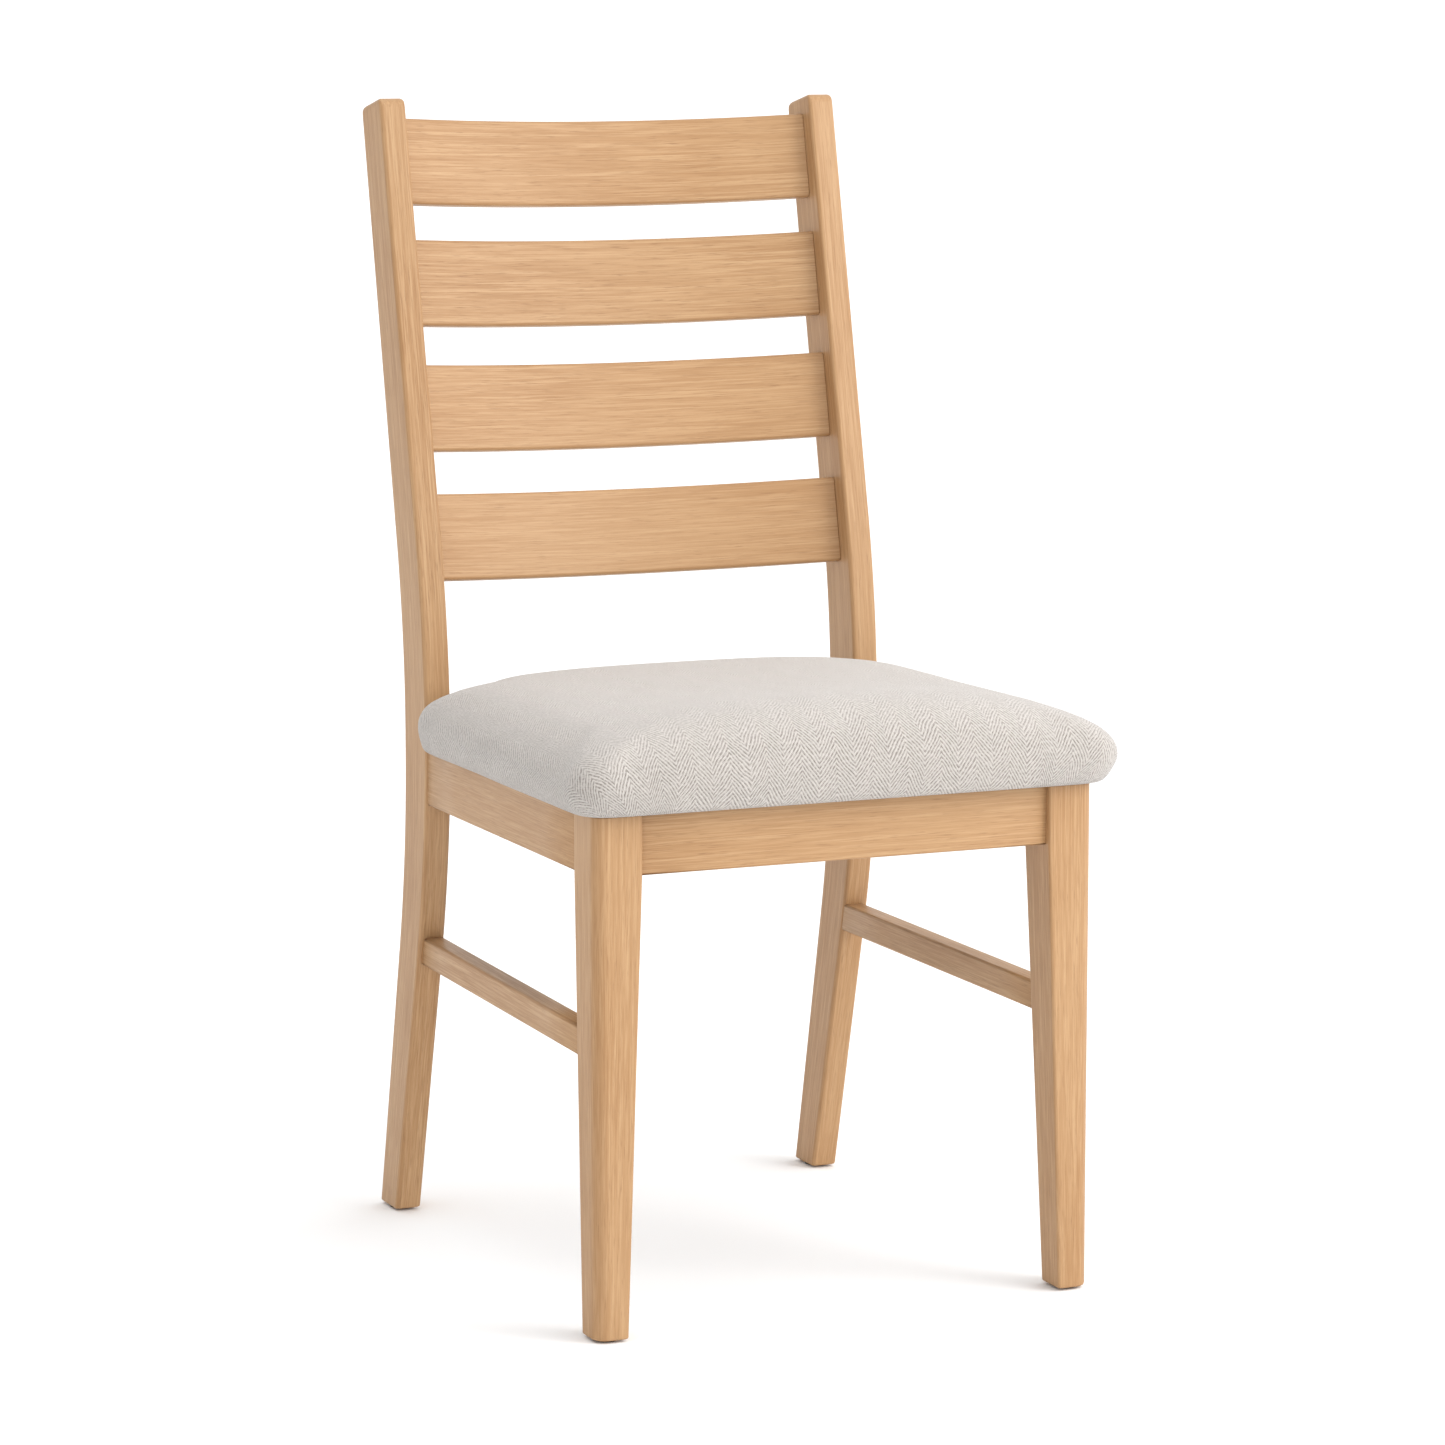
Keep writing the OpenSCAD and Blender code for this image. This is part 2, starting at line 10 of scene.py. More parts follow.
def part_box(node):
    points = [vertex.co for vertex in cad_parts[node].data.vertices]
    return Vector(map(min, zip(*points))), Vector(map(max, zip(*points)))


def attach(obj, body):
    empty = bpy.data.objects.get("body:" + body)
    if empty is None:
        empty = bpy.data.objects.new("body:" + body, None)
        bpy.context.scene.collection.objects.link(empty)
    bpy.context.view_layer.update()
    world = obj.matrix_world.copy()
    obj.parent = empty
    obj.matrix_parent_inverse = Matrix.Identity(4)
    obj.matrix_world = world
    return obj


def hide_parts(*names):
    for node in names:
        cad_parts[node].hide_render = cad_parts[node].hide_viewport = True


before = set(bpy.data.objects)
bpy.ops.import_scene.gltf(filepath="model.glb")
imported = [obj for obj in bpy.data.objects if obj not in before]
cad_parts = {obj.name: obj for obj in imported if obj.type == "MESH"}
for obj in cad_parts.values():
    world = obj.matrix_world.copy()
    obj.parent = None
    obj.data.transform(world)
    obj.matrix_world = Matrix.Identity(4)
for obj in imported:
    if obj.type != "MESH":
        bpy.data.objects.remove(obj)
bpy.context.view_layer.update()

MM = 0.001

# ---------------------------------------------------------------- sizes, from the CAD nodes
LEG_LO, LEG_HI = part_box("front_leg_left")
POST_LO, POST_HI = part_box("back_post_left")
APRON_LO, APRON_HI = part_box("front_apron")
REAR_LO, REAR_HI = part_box("rear_apron")
COVER_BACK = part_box("seat_cover")[1].y
DUST_LO, DUST_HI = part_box("dust_cover")

LEG_X = -LEG_LO.x                    # outer face of the front legs
LEG_W = LEG_HI.x - LEG_LO.x
LEG_D = LEG_HI.y - LEG_LO.y
LEG_FRONT = LEG_LO.y
FOOT_Z = LEG_LO.z                    # the wood starts on top of the glides
FRAME_TOP = LEG_HI.z
APRON_Z = APRON_LO.z
POST_X = -POST_LO.x                  # outer face of the back posts
POST_W = POST_HI.x - POST_LO.x

# The shape of the members between those boxes, as the CAD has it
LEG_FOOT_W = 27.5 * MM
LEG_FOOT_D = 31 * MM
LEG_CORNER_R = 11 * MM
POST_FOOT_D = 38 * MM
POST_SEAT_D = 52 * MM
POST_TOP_D = 47 * MM
POST_TOP_R = 9 * MM
LEAN = math.radians(12)
SPLAY = math.radians(13.5)
BEND_R = 800 * MM
BEND_Z = 407 * MM
BEND_Y = 390 * MM
SLAT_H = 73 * MM
SLAT_T = 13 * MM
SLAT_SAG = 25 * MM
SLAT_SETBACK = 15 * MM
SLAT_DOWN = [15 * MM, 118 * MM, 224 * MM, 333 * MM]
APRON_T = 20 * MM
SIDE_APRON_INSET = 2 * MM
STRETCHER_H = 24 * MM
STRETCHER_W = 18 * MM
STRETCHER_Z = 220 * MM
STRETCHER_RISE = 6 * MM
STRETCHER_INSET = 4 * MM
PAD_GAP = 1.5 * MM
BOARD_OVER = 4 * MM
BOARD_R = 22 * MM
PAD_CORNER_EXTRA = 4 * MM            # extra roundness of the pad's corners before the posts
FABRIC_T = 1.5 * MM
TONGUE_R = 6 * MM
DUST_INSET = 4 * MM
DUST_SLACK = 1.2 * MM
DUST_THICK = 0.4 * MM
DUST_PUCKER = 0.2 * MM               # small waves along the stapled edge
PUCKER_FADE = 14 * MM
PUCKER_SPACING = 21 * MM

# How round the wood's edges are
POST_EDGE_R = 3.5 * MM
LEG_EDGE_R = 2.5 * MM
SLAT_EDGE_R = 3.2 * MM
APRON_EDGE_R = 1.8 * MM
STRETCHER_EDGE_R = 2.5 * MM
FOOT_END_R = 2 * MM
LEG_TOP_R = 0.8 * MM
POST_TOP_SIDE_R = 4.5 * MM           # the post's top is rounded less across than from front to back
SLAT_END_R = 1.0 * MM
CORNER_STEPS = 4                     # facets round a long edge
END_STEPS = 5                        # facets round a rounded end
SUNK = 0.3 * MM                      # how far a rail's shaped end runs into its neighbour


# ---------------------------------------------------------------- the post's curve
TANGENT = BEND_R * math.tan((LEAN + SPLAY) / 2)
BEND_START = (BEND_Y + TANGENT * math.sin(SPLAY), BEND_Z - TANGENT * math.cos(SPLAY))
BEND_END = (BEND_Y + TANGENT * math.sin(LEAN), BEND_Z + TANGENT * math.cos(LEAN))
BEND_CENTRE = (BEND_START[0] + BEND_R * math.cos(SPLAY), BEND_START[1] + BEND_R * math.sin(SPLAY))
HEIGHT = POST_HI.z
TOP_ACROSS = POST_TOP_D / 2 - POST_TOP_R
TOP_Z = HEIGHT - TOP_ACROSS * math.sin(LEAN) + POST_TOP_R * (math.cos(LEAN) - 1)
TOP_Y = BEND_END[0] + (TOP_Z - BEND_END[1]) * math.tan(LEAN)
LEG_RUN = (BEND_START[1] - FOOT_Z) / math.cos(SPLAY)
BEND_RUN = BEND_R * (LEAN + SPLAY)
BACK_RUN = (TOP_Z - BEND_END[1]) / math.cos(LEAN)


def post_depth(z):
    if z < BEND_Z:
        return POST_FOOT_D + (POST_SEAT_D - POST_FOOT_D) * z / BEND_Z
    return POST_SEAT_D + (POST_TOP_D - POST_SEAT_D) * (z - BEND_Z) / (HEIGHT - BEND_Z)


def post_station(t):
    """Centre (y, z) and tilt of the post's cross-section, t metres up from the foot."""
    if t < LEG_RUN:
        d = LEG_RUN - t
        return BEND_START[0] + d * math.sin(SPLAY), BEND_START[1] - d * math.cos(SPLAY), SPLAY
    if t < LEG_RUN + BEND_RUN:
        a = SPLAY - (t - LEG_RUN) / BEND_R
        return BEND_CENTRE[0] - BEND_R * math.cos(a), BEND_CENTRE[1] - BEND_R * math.sin(a), a
    d = t - LEG_RUN - BEND_RUN
    return BEND_END[0] + d * math.sin(LEAN), BEND_END[1] + d * math.cos(LEAN), -LEAN


def post_front(z):
    """How far the post's front face is behind the front legs' front faces, at height z."""
    if z < BEND_START[1]:
        y, tilt = BEND_START[0] + (BEND_START[1] - z) * math.tan(SPLAY), SPLAY
    elif z > BEND_END[1]:
        y, tilt = BEND_END[0] + (z - BEND_END[1]) * math.tan(LEAN), LEAN
    else:
        tilt = math.asin((BEND_CENTRE[1] - z) / BEND_R)
        y = BEND_CENTRE[0] - BEND_R * math.cos(tilt)
    return y - post_depth(z) / 2 / math.cos(tilt)


def rail_x(y, inset):
    """Outer face of a side rail, y metres behind the front legs' front faces."""
    slope = (POST_X - LEG_X) / (post_front(FRAME_TOP) - LEG_D)
    return LEG_X - inset + slope * (y - LEG_D)


# ---------------------------------------------------------------- lofted members
def new_object(name, bm):
    mesh = bpy.data.meshes.new(name)
    bm.normal_update()
    bm.to_mesh(mesh)
    bm.free()
    obj = bpy.data.objects.new(name, mesh)
    bpy.context.scene.collection.objects.link(obj)
    return obj


def rounded_rect(half_u, half_v, radii):
    """Points round a rectangle, each with 1 in the middle of a rounded edge and 0 on a flat."""
    points = []
    for k, (su, sv) in enumerate(((1, 1), (-1, 1), (-1, -1), (1, -1))):
        r = max(min(radii[k], half_u * 0.98, half_v * 0.98), 0.2 * MM)
        for i in range(CORNER_STEPS + 1):
            a = math.pi / 2 * (k + i / CORNER_STEPS)
            points.append((su * (half_u - r) + r * math.cos(a), sv * (half_v - r) + r * math.sin(a),
                           math.sin(math.pi * i / CORNER_STEPS)))
    return points


def round_over(distance, r):
    """How far a face has drawn in at this distance from an end rounded to radius r."""
    if distance >= r:
        return 0.0
    return r - math.sqrt(max(r * r - (r - distance) ** 2, 0.0))


def end_steps(r):
    return [r * (1 - math.cos(math.pi / 2 * i / END_STEPS)) for i in range(END_STEPS + 1)] if r else [0.0]


def member(name, section, inner, start=(0, 0), end=(0, 0), fit_start=None, fit_end=None):
    """A solid wooden member.

    section(t) gives (centre, u_axis, v_axis, half_u, half_v, radii); inner are the places t of its
    cross-sections from end to end; start and end are the radii to which its ends are rounded,
    across u and across v; a fit moves the points of an end ring so that it meets its neighbour.
    """
    t0, t1 = inner[0], inner[-1]
    places = [t for t in inner if t0 + max(start) < t < t1 - max(end)]
    places = [t0 + d for d in end_steps(max(start))] + places
    places += [t1 - d for d in reversed(end_steps(max(end)))]
    bm = bmesh.new()
    grain = bm.verts.layers.float_vector.new("grain")
    # edge: 1 along the rounded edges and towards the rounded ends; the oak uses it to paint shade there
    edge = bm.verts.layers.float.new("edge")
    seed = random.Random(name)
    shift = Vector((seed.uniform(0, 9), seed.choice((-1, 1)) * seed.uniform(0.05, 0.12),
                    seed.choice((-1, 1)) * seed.uniform(0.02, 0.07)))
    rings = []
    for t in places:
        centre, u_axis, v_axis, half_u, half_v, radii = section(t)
        inset_u = round_over(t - t0, start[0]) + round_over(t1 - t, end[0])
        inset_v = round_over(t - t0, start[1]) + round_over(t1 - t, end[1])
        inset = max(inset_u, inset_v)
        ring = []
        corners = [r - inset * 0.6 for r in radii]
        for u, v, e in rounded_rect(half_u - inset_u, half_v - inset_v, corners):
            vert = bm.verts.new(centre + u_axis * u + v_axis * v)
            vert[grain] = Vector((t, u, v)) + shift
            vert[edge] = max(e, min(inset / (max(start + end) or 1) * 2, 1) if inset else 0)
            ring.append(vert)
        rings.append(ring)
    if fit_start:
        for vert in rings[0]:
            vert.co.y = fit_start(vert.co)
    if fit_end:
        for vert in rings[-1]:
            vert.co.y = fit_end(vert.co)
    for a, b in zip(rings, rings[1:]):
        for i in range(len(a)):
            j = (i + 1) % len(a)
            bm.faces.new((a[i], a[j], b[j], b[i]))
    bm.faces.new(list(reversed(rings[0])))
    bm.faces.new(rings[-1])
    bmesh.ops.recalc_face_normals(bm, faces=bm.faces)
    for face in bm.faces:
        face.smooth = True
    obj = new_object(name, bm)
    tone = obj.data.attributes.new("tone", "FLOAT", "POINT")
    tone.data.foreach_set("value", [seed.uniform(0, 1)] * len(obj.data.vertices))
    obj.modifiers.new("flat faces stay flat", "WEIGHTED_NORMAL").keep_sharp = True
    return obj


def spread(a, b, count):
    return [a + (b - a) * i / (count - 1) for i in range(count)]


def finish_piece(obj, node, slot, *materials):
    for material in materials:
        obj.data.materials.append(material)
    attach(obj, "root")
    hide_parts(*([node] if isinstance(node, str) else node))
    return obj


X, Y, Z = Vector((1, 0, 0)), Vector((0, 1, 0)), Vector((0, 0, 1))
SIDES = (("left", -1), ("right", 1))


def front_leg(name, side):
    def section(z):
        share = min((z - FOOT_Z) / (APRON_Z - FOOT_Z), 1)
        w = LEG_FOOT_W + (LEG_W - LEG_FOOT_W) * share
        d = LEG_FOOT_D + (LEG_D - LEG_FOOT_D) * share
        radii = [LEG_EDGE_R] * 4
        radii[2 if side < 0 else 3] = LEG_CORNER_R
        return Vector((side * (LEG_X - w / 2), LEG_FRONT + d / 2, z)), X, Y, w / 2, d / 2, radii

    places = spread(FOOT_Z, APRON_Z, 9) + [FRAME_TOP]
    return member(name, section, places, start=(FOOT_END_R, FOOT_END_R),
                  end=(LEG_TOP_R, LEG_TOP_R))


def back_post(name, side):
    level_run = 60 * MM          # the cross-sections turn level over this length above the foot

    def section(t):
        y, z, tilt = post_station(t)
        turn = tilt * min(t / level_run, 1)
        v_axis = Vector((0, math.cos(turn), math.sin(turn)))
        half_v = post_depth(z) / 2 / math.cos(tilt - turn)
        centre = Vector((side * (POST_X - POST_W / 2), LEG_FRONT + y, z))
        return centre, X, v_axis, POST_W / 2, half_v, [POST_EDGE_R] * 4

    bend = LEG_RUN + BEND_RUN
    places = spread(0, LEG_RUN, 9)[:-1] + spread(LEG_RUN, bend, 21)
    places += spread(bend, bend + BACK_RUN, 12)[1:]
    return member(name, section, places, start=(FOOT_END_R, FOOT_END_R),
                  end=(POST_TOP_SIDE_R, POST_TOP_R))


def back_slat(name, index):
    half = POST_X - POST_W
    bow_r = (half * half + SLAT_SAG * SLAT_SAG) / (2 * SLAT_SAG)
    down = SLAT_DOWN[index] + SLAT_H
    across = SLAT_SETBACK - POST_TOP_D / 2
    foot = Vector((0, LEG_FRONT + TOP_Y + across * math.cos(LEAN) - down * math.sin(LEAN),
                   TOP_Z - across * math.sin(LEAN) - down * math.cos(LEAN)))
    back = Vector((0, math.cos(LEAN), -math.sin(LEAN)))
    up = Vector((0, math.sin(LEAN), math.cos(LEAN)))

    def section(x):
        near = SLAT_SAG - bow_r + math.sqrt(bow_r ** 2 - x * x)
        far = SLAT_SAG - bow_r + math.sqrt((bow_r + SLAT_T) ** 2 - x * x)
        centre = foot + X * x + back * (near + far) / 2 + up * SLAT_H / 2
        return centre, back, up, (far - near) / 2, SLAT_H / 2, [SLAT_EDGE_R] * 4

    return member(name, section, spread(-half, half, 33), start=(SLAT_END_R, SLAT_END_R),
                  end=(SLAT_END_R, SLAT_END_R))


def cross_apron(name, lo, hi):
    centre = (lo + hi) / 2

    def section(x):
        half_y, half_z = (hi.y - lo.y) / 2, (hi.z - lo.z) / 2
        return Vector((x, centre.y, centre.z)), Y, Z, half_y, half_z, [APRON_EDGE_R] * 4

    return member(name, section, spread(lo.x, hi.x, 5))


def side_rail(name, side, inset, thick, bottom, height, edge_r, fit_start):
    def section(y):
        x = side * (rail_x(y, inset) - thick / 2)
        centre = Vector((x, LEG_FRONT + y, bottom(y) + height / 2))
        return centre, X, Z, thick / 2, height / 2, [edge_r] * 4

    def fit_end(co):
        return LEG_FRONT + post_front(co.z) + SUNK

    start = fit_start(Vector((0, 0, bottom(LEG_D) + height / 2))) - LEG_FRONT
    end = post_front(bottom(post_front(FRAME_TOP)) + height / 2)
    return member(name, section, spread(start, end, 6), fit_start=fit_start, fit_end=fit_end)


def side_apron(name, side):
    return side_rail(name, side, SIDE_APRON_INSET, APRON_T, lambda y: APRON_Z, FRAME_TOP - APRON_Z,
                     APRON_EDGE_R, lambda co: LEG_FRONT + LEG_D)


def leg_back(co):
    share = min((co.z - FOOT_Z) / (APRON_Z - FOOT_Z), 1)
    return LEG_FRONT + LEG_FOOT_D + (LEG_D - LEG_FOOT_D) * share - SUNK


def side_stretcher(name, side):
    run = post_front(STRETCHER_Z) - LEG_D

    def bottom(y):
        return STRETCHER_Z + STRETCHER_RISE * (y - LEG_D) / run

    return side_rail(name, side, STRETCHER_INSET, STRETCHER_W, bottom, STRETCHER_H, STRETCHER_EDGE_R,
                     leg_back)


# ---------------------------------------------------------------- materials
class Nodes:
    """A material's node tree, with short ways to add nodes and link them."""

    def __init__(self, name):
        self.material = bpy.data.materials.new(name)
        self.material.use_nodes = True
        self.tree = self.material.node_tree
        self.tree.nodes.clear()
        self.out = self.tree.nodes.new("ShaderNodeOutputMaterial")
        self.shader = self.add("ShaderNodeBsdfPrincipled")
        self.tree.links.new(self.shader.outputs[0], self.out.inputs["Surface"])

    def add(self, kind, inputs=None, **settings):
        node = self.tree.nodes.new(kind)
        for key, value in settings.items():
            setattr(node, key, value)
        for key, value in (inputs or {}).items():
            socket = node.inputs[key]
            if isinstance(value, bpy.types.NodeSocket):
                self.tree.links.new(value, socket)
            else:
                socket.default_value = value
        return node

    def attribute(self, name, output="Vector"):
        return self.add("ShaderNodeAttribute", attribute_name=name).outputs[output]

    def object_place(self):
        return self.add("ShaderNodeTexCoord").outputs["Object"]

    def scaled(self, vector, scale):
        return self.add("ShaderNodeMapping", {"Vector": vector, "Scale": scale}).outputs[0]

    def noise(self, vector, scale=1.0, detail=4.0, roughness=0.5, output="Fac"):
        return self.add("ShaderNodeTexNoise",
                        {"Vector": vector, "Scale": scale, "Detail": detail,
                         "Roughness": roughness}).outputs[output]

    def math(self, operation, a, b=0.0):
        return self.add("ShaderNodeMath", {0: a, 1: b}, operation=operation).outputs[0]

    def vector_math(self, operation, a, b):
        return self.add("ShaderNodeVectorMath", {0: a, 1: b}, operation=operation).outputs[0]

    def parts(self, vector):
        return self.add("ShaderNodeSeparateXYZ", {0: vector}).outputs

    def span(self, value, low, high, to_low=0.0, to_high=1.0):
        return self.add("ShaderNodeMapRange",
                        {"Value": value, "From Min": low, "From Max": high, "To Min": to_low,
                         "To Max": to_high}).outputs[0]

    def mix(self, share, a, b):
        node = self.add("ShaderNodeMix", data_type="RGBA")
        for socket, value in ((node.inputs[0], share), (node.inputs[6], a), (node.inputs[7], b)):
            if isinstance(value, bpy.types.NodeSocket):
                self.tree.links.new(value, socket)
            elif socket.type == "RGBA":
                socket.default_value = tuple(value) + (1,)
            else:
                socket.default_value = value
        return node.outputs[2]

    def bump(self, height, strength, distance):
        return self.add("ShaderNodeBump", {"Height": height, "Strength": strength,
                                           "Distance": distance}).outputs[0]

    def surface(self, **inputs):
        for key, value in inputs.items():
            socket = self.shader.inputs[key.replace("_", " ")]
            if isinstance(value, bpy.types.NodeSocket):
                self.tree.links.new(value, socket)
            else:
                socket.default_value = value


def oak_material():
    n = Nodes("oak")
    grain = n.attribute("grain")
    # Growth rings: distance from a far heart, pushed about along the grain
    wander = n.noise(n.scaled(grain, (1.6, 9, 9)), detail=3)
    across = n.parts(grain)
    heart = n.add("ShaderNodeCombineXYZ", {0: 0.0, 1: across[1], 2: across[2]}).outputs[0]
    radius = n.add("ShaderNodeVectorMath", {0: heart}, operation="LENGTH").outputs["Value"]
    rings = n.math("ADD", n.math("MULTIPLY", radius, 210.0), n.math("MULTIPLY", wander, 5.0))
    ring = n.math("FRACT", rings)
    late = n.span(ring, 0.35, 1.0)
    # Long fibres, short dark pores and slow patches of colour
    fibre = n.noise(n.scaled(grain, (20, 1000, 1000)), detail=4, roughness=0.6)
    streak = n.noise(n.scaled(grain, (7, 380, 380)), detail=3, roughness=0.55)
    pore = n.noise(n.scaled(grain, (55, 1700, 1700)), detail=2, roughness=0.5)
    patch = n.noise(n.scaled(grain, (4, 14, 14)), detail=2)
    tone = n.attribute("tone", "Fac")
    edge = n.attribute("edge", "Fac")
    light = (0.494, 0.307, 0.159)
    dark = (0.405, 0.225, 0.104)
    colour = n.mix(n.span(late, 0, 1, 0.05, 0.55), light, dark)
    colour = n.mix(n.span(streak, 0.40, 0.62, 0.0, 0.70), colour, (0.361, 0.192, 0.081))
    colour = n.mix(n.span(fibre, 0.42, 0.60, 0.0, 0.75), colour, (0.317, 0.162, 0.065))
    colour = n.mix(n.span(patch, 0.35, 0.7, 0.0, 0.35), colour, (0.534, 0.343, 0.185))
    dashes = n.span(pore, 0.60, 0.72, 0.0, 1.0)
    colour = n.mix(n.math("MULTIPLY", dashes, 0.60), colour, (0.218, 0.107, 0.046))
    colour = n.mix(n.span(tone, 0, 1, 0.0, 0.22), colour, (0.515, 0.302, 0.147))
    # Painted shade: darker and redder along the rounded edges and ends, standing in for the shade where
    # the wood turns away from the light
    colour = n.mix(n.math("MULTIPLY", edge, 0.22), colour, (0.326, 0.164, 0.065))
    rough = n.span(fibre, 0.3, 0.7, 0.40, 0.52)
    height = n.math("SUBTRACT", n.math("MULTIPLY", fibre, 0.5), n.math("MULTIPLY", dashes, 0.8))
    n.surface(Base_Color=colour, Roughness=rough, IOR=1.45, Specular_IOR_Level=0.3,
              Coat_Weight=0.12, Coat_Roughness=0.34, Normal=n.bump(height, 0.35, 0.15 * MM))
    return n.material


def plain_wood_material(name, light, dark, along):
    """Wood on the CAD's own solids, with its grain along one axis of the chair."""
    n = Nodes(name)
    place = n.object_place()
    thin = [260.0] * 3
    thin[along] = 9.0
    slow = [40.0] * 3
    slow[along] = 2.5
    fine = n.noise(n.scaled(place, thin), detail=4, roughness=0.6)
    broad = n.noise(n.scaled(place, slow), detail=2)
    colour = n.mix(n.span(fine, 0.35, 0.68), light, dark)
    colour = n.mix(n.span(broad, 0.35, 0.7, 0.0, 0.5), colour, light)
    n.surface(Base_Color=colour, Roughness=n.span(fine, 0.3, 0.7, 0.55, 0.75),
              Normal=n.bump(fine, 0.3, 0.15 * MM))
    return n.material


def plywood_material():
    n = Nodes("plywood")
    place = n.object_place()
    layer = n.math("FRACT", n.math("MULTIPLY", n.parts(place)[2], 480.0))
    stripe = n.span(layer, 0.45, 0.55)
    fine = n.noise(n.scaled(place, (9, 240, 60)), detail=4)
    colour = n.mix(stripe, (0.60, 0.44, 0.27), (0.44, 0.30, 0.17))
    colour = n.mix(n.span(fine, 0.35, 0.7, 0.0, 0.5), colour, (0.66, 0.50, 0.32))
    n.surface(Base_Color=colour, Roughness=0.7, Normal=n.bump(fine, 0.3, 0.1 * MM))
    return n.material


WEAVE_COLUMN = 15 * MM               # width of a herringbone column
WEAVE_RIB = 2.4 * MM                 # from one slanting rib to the next
WEAVE_SLOPE = math.radians(54)
WEAVE_DRIFT = 8 * MM                 # the columns wander by up to half of this each way
YARN = 1.5 * MM


def weave_material():
    """Herringbone cloth: two yarn shades in slanting ribs that turn back from column to column."""
    n = Nodes("seat_fabric")
    laid = n.attribute("weave")
    place = n.scaled(laid, (1, 1, 0))
    # over_edge: 0 on the crown, 1 over the pad's edges; it sets the weave's strength and the painted
    # shade on the sides and front
    over_edge = n.parts(laid)[2]
    drift = n.noise(place, scale=28.0, detail=2, output="Color")
    drift = n.vector_math("SUBTRACT", drift, (0.5, 0.5, 0.5))
    drift = n.vector_math("MULTIPLY", drift, (WEAVE_DRIFT, WEAVE_DRIFT, 0.0))
    place = n.vector_math("ADD", place, drift)
    u, v = n.parts(place)[:2]
    fold = n.math("PINGPONG", n.math("ADD", u, 5.0), WEAVE_COLUMN)
    slant = n.math("ADD", n.math("MULTIPLY", fold, math.sin(WEAVE_SLOPE) / WEAVE_RIB),
                   n.math("MULTIPLY", v, math.cos(WEAVE_SLOPE) / WEAVE_RIB))
    ribs = n.math("SINE", n.math("MULTIPLY", slant, 2 * math.pi))
    yarn_u, yarn_v = (n.math("SINE", n.math("MULTIPLY", t, 2 * math.pi / YARN)) for t in (u, v))
    knots = n.math("MULTIPLY", yarn_u, yarn_v)
    weave = n.math("ADD", n.math("MULTIPLY", ribs, 0.6), n.math("MULTIPLY", knots, 0.4))
    melange = n.noise(place, scale=420.0, detail=3, roughness=0.6)
    broad = n.noise(place, scale=9.0, detail=3)
    strength = n.span(n.noise(place, scale=40.0, detail=2), 0.3, 0.7, 0.75, 1.0)
    strength = n.math("MULTIPLY", strength, n.span(over_edge, 0, 1, 0.55, 1.0))
    shade = n.math("ADD", n.math("MULTIPLY", n.math("MULTIPLY", weave, 0.6), strength), 0.5)
    light = (0.585, 0.545, 0.508)
    dark = (0.135, 0.113, 0.096)
    colour = n.mix(n.span(shade, 0.05, 0.80), dark, light)
    colour = n.mix(n.span(melange, 0.44, 0.60, 0.0, 0.65), colour, (0.590, 0.550, 0.517))
    colour = n.mix(n.span(broad, 0.35, 0.7, 0.0, 0.08), colour, (0.460, 0.420, 0.383))
    # Painted shade: the sides and front over the edge are darkened, standing in for their being less lit
    # than the crown
    colour = n.mix(n.math("MULTIPLY", over_edge, 0.12), colour, (0.400, 0.358, 0.320))
    height = n.math("ADD", n.math("MULTIPLY", weave, strength), n.math("MULTIPLY", melange, 0.6))
    n.surface(Base_Color=colour, Roughness=0.92, Specular_IOR_Level=0.2, Sheen_Weight=0.4,
              Sheen_Roughness=0.5, Normal=n.bump(height, 0.8, 0.55 * MM))
    return n.material


def cloth_material(name, light, dark, scale):
    n = Nodes(name)
    place = n.object_place()
    fleck = n.noise(place, scale=scale, detail=4, roughness=0.65)
    broad = n.noise(place, scale=12.0, detail=2)
    colour = n.mix(n.span(fleck, 0.35, 0.68), dark, light)
    colour = n.mix(n.span(broad, 0.3, 0.7, 0.0, 0.3), colour, dark)
    n.surface(Base_Color=colour, Roughness=0.9, Normal=n.bump(fleck, 0.4, 0.2 * MM))
    return n.material


def metal_material(name, colour, rough):
    n = Nodes(name)
    place = n.object_place()
    brush = n.noise(n.scaled(place, (900, 900, 60)), detail=3)
    tint = n.mix(n.span(brush, 0.3, 0.7), tuple(c * 0.85 for c in colour), colour)
    n.surface(Base_Color=tint, Metallic=1.0, Roughness=n.span(brush, 0.3, 0.7, rough, rough + 0.15),
              Normal=n.bump(brush, 0.1, 0.05 * MM))
    return n.material


def nylon_material():
    n = Nodes("glide")
    place = n.object_place()
    grit = n.noise(place, scale=900.0, detail=2)
    colour = n.mix(grit, (0.018, 0.016, 0.014), (0.035, 0.032, 0.028))
    n.surface(Base_Color=colour, Roughness=n.span(grit, 0.3, 0.7, 0.45, 0.6),
              Normal=n.bump(grit, 0.2, 0.05 * MM))
    return n.material


def floor_material():
    n = Nodes("floor")
    place = n.object_place()
    mottle = n.noise(place, scale=3.0, detail=2)
    n.surface(Base_Color=n.mix(mottle, (0.955, 0.960, 0.965), (0.965, 0.970, 0.975)), Roughness=0.9,
              Specular_IOR_Level=0.1)
    return n.material


